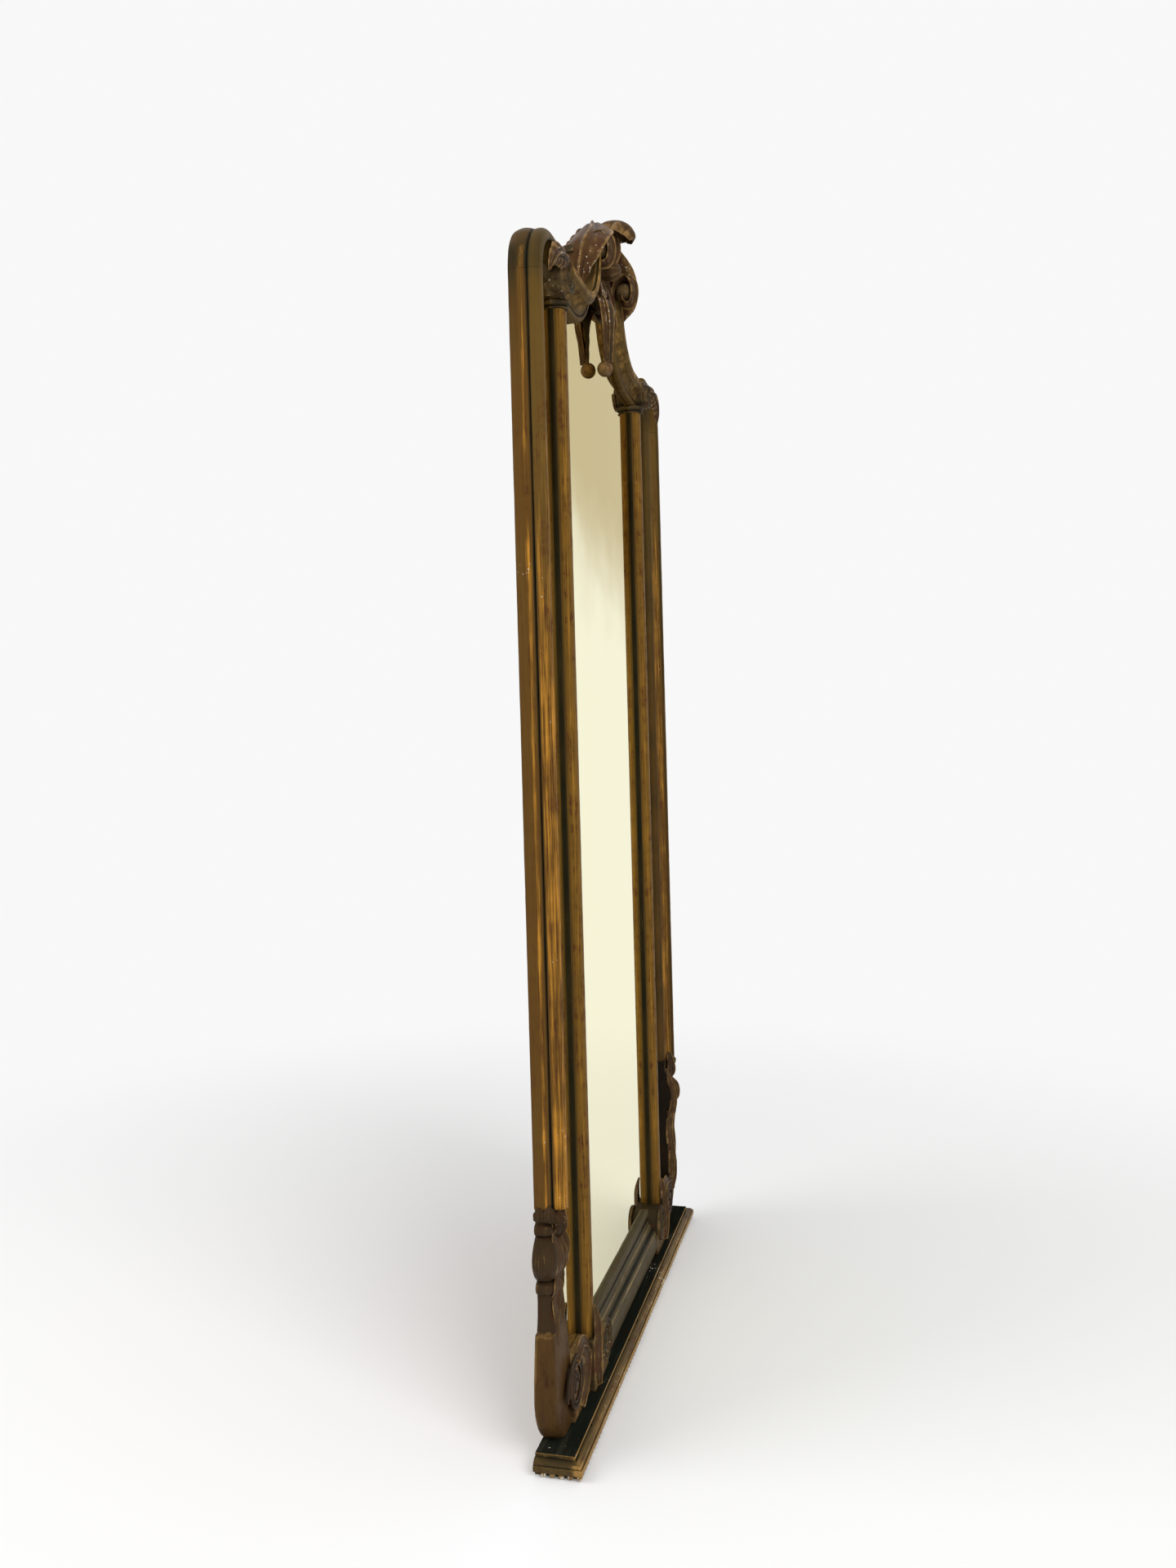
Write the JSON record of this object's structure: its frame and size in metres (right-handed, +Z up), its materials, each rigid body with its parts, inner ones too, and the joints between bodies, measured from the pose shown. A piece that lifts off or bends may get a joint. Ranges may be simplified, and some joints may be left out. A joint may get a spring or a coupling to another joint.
{
  "type": "standing wall mirror",
  "caption": "Tall carved giltwood mirror with border glasses, arched head and leafy crest, standing on a moulded plinth, with hanging rings let into its back.",
  "frame": {"origin": "middle of the plinth's underside, where the mirror stands on the floor", "axes": "+Z up; +Y from the glass to the wall behind; +X to the right seen from the front"},
  "size_m": [0.9, 0.0894, 1.7942],
  "materials": {
    "worn_gilding": "gold leaf over red bole on wood, worn and toned brown",
    "carved_wood": "carved wood with dark toned gilding, rubbed through to wood and gesso",
    "plinth_wood": "black-green painted top with toned gold edges",
    "mirror_glass": "old silvered plate glass",
    "back_wood": "bare sawn softwood, darkened with age",
    "steel": "dull steel"
  },
  "bodies": {
    "frame": {"plinth_board": "plinth_wood", "plinth_pearls": "worn_gilding", "outer_stile_left": "worn_gilding", "outer_stile_right": "worn_gilding", "shoulder_left": "worn_gilding", "shoulder_right": "worn_gilding", "foot_left": "carved_wood", "foot_right": "carved_wood", "leg_left": "carved_wood", "leg_right": "carved_wood", "foot_volute_left": "carved_wood", "foot_volute_right": "carved_wood", "leaf_drop_left": "carved_wood", "leaf_drop_right": "carved_wood", "corner_block_left": "carved_wood", "corner_block_right": "carved_wood", "bottom_rail": "worn_gilding", "inner_stile_left": "worn_gilding", "inner_stile_right": "worn_gilding", "inner_foot_left": "carved_wood", "inner_foot_right": "carved_wood", "foot_scroll_left": "carved_wood", "foot_scroll_right": "carved_wood", "inner_capital_left": "worn_gilding", "inner_capital_right": "worn_gilding", "corner_boss_left": "carved_wood", "corner_boss_right": "carved_wood", "corner_scroll_left": "carved_wood", "corner_scroll_right": "carved_wood", "arch_rail_left": "worn_gilding", "arch_rail_right": "worn_gilding", "head_board": "carved_wood", "crest_c_scroll_left": "carved_wood", "crest_c_scroll_right": "carved_wood", "crest_cartouche": "carved_wood", "crest_plume": "carved_wood", "crest_side_leaf_left": "carved_wood", "crest_side_leaf_right": "carved_wood", "crest_pendant": "carved_wood", "pendant_ball": "carved_wood", "main_glass": "mirror_glass", "side_glass_left": "mirror_glass", "side_glass_right": "mirror_glass", "back_board_left": "back_wood", "back_board_right": "back_wood", "back_board_centre": "back_wood", "batten_lower": "back_wood", "batten_upper": "back_wood", "batten_screws": "steel", "hanger_strap_left": "steel", "hanger_strap_right": "steel", "hanger_screws": "steel"},
    "ring_left": {"hanger_ring_left": "steel"},
    "ring_right": {"hanger_ring_right": "steel"}
  },
  "joints": [
    {"name": "ring_left_hinge", "type": "hinge", "parent": "frame", "child": "ring_left", "pos_m": [-0.3925, 0.02795, 1.337], "axis": [1, 0, 0], "range_deg": [0, 175]},
    {"name": "ring_right_hinge", "type": "hinge", "parent": "frame", "child": "ring_right", "pos_m": [0.3925, 0.02795, 1.337], "axis": [1, 0, 0], "range_deg": [0, 175]}
  ]
}
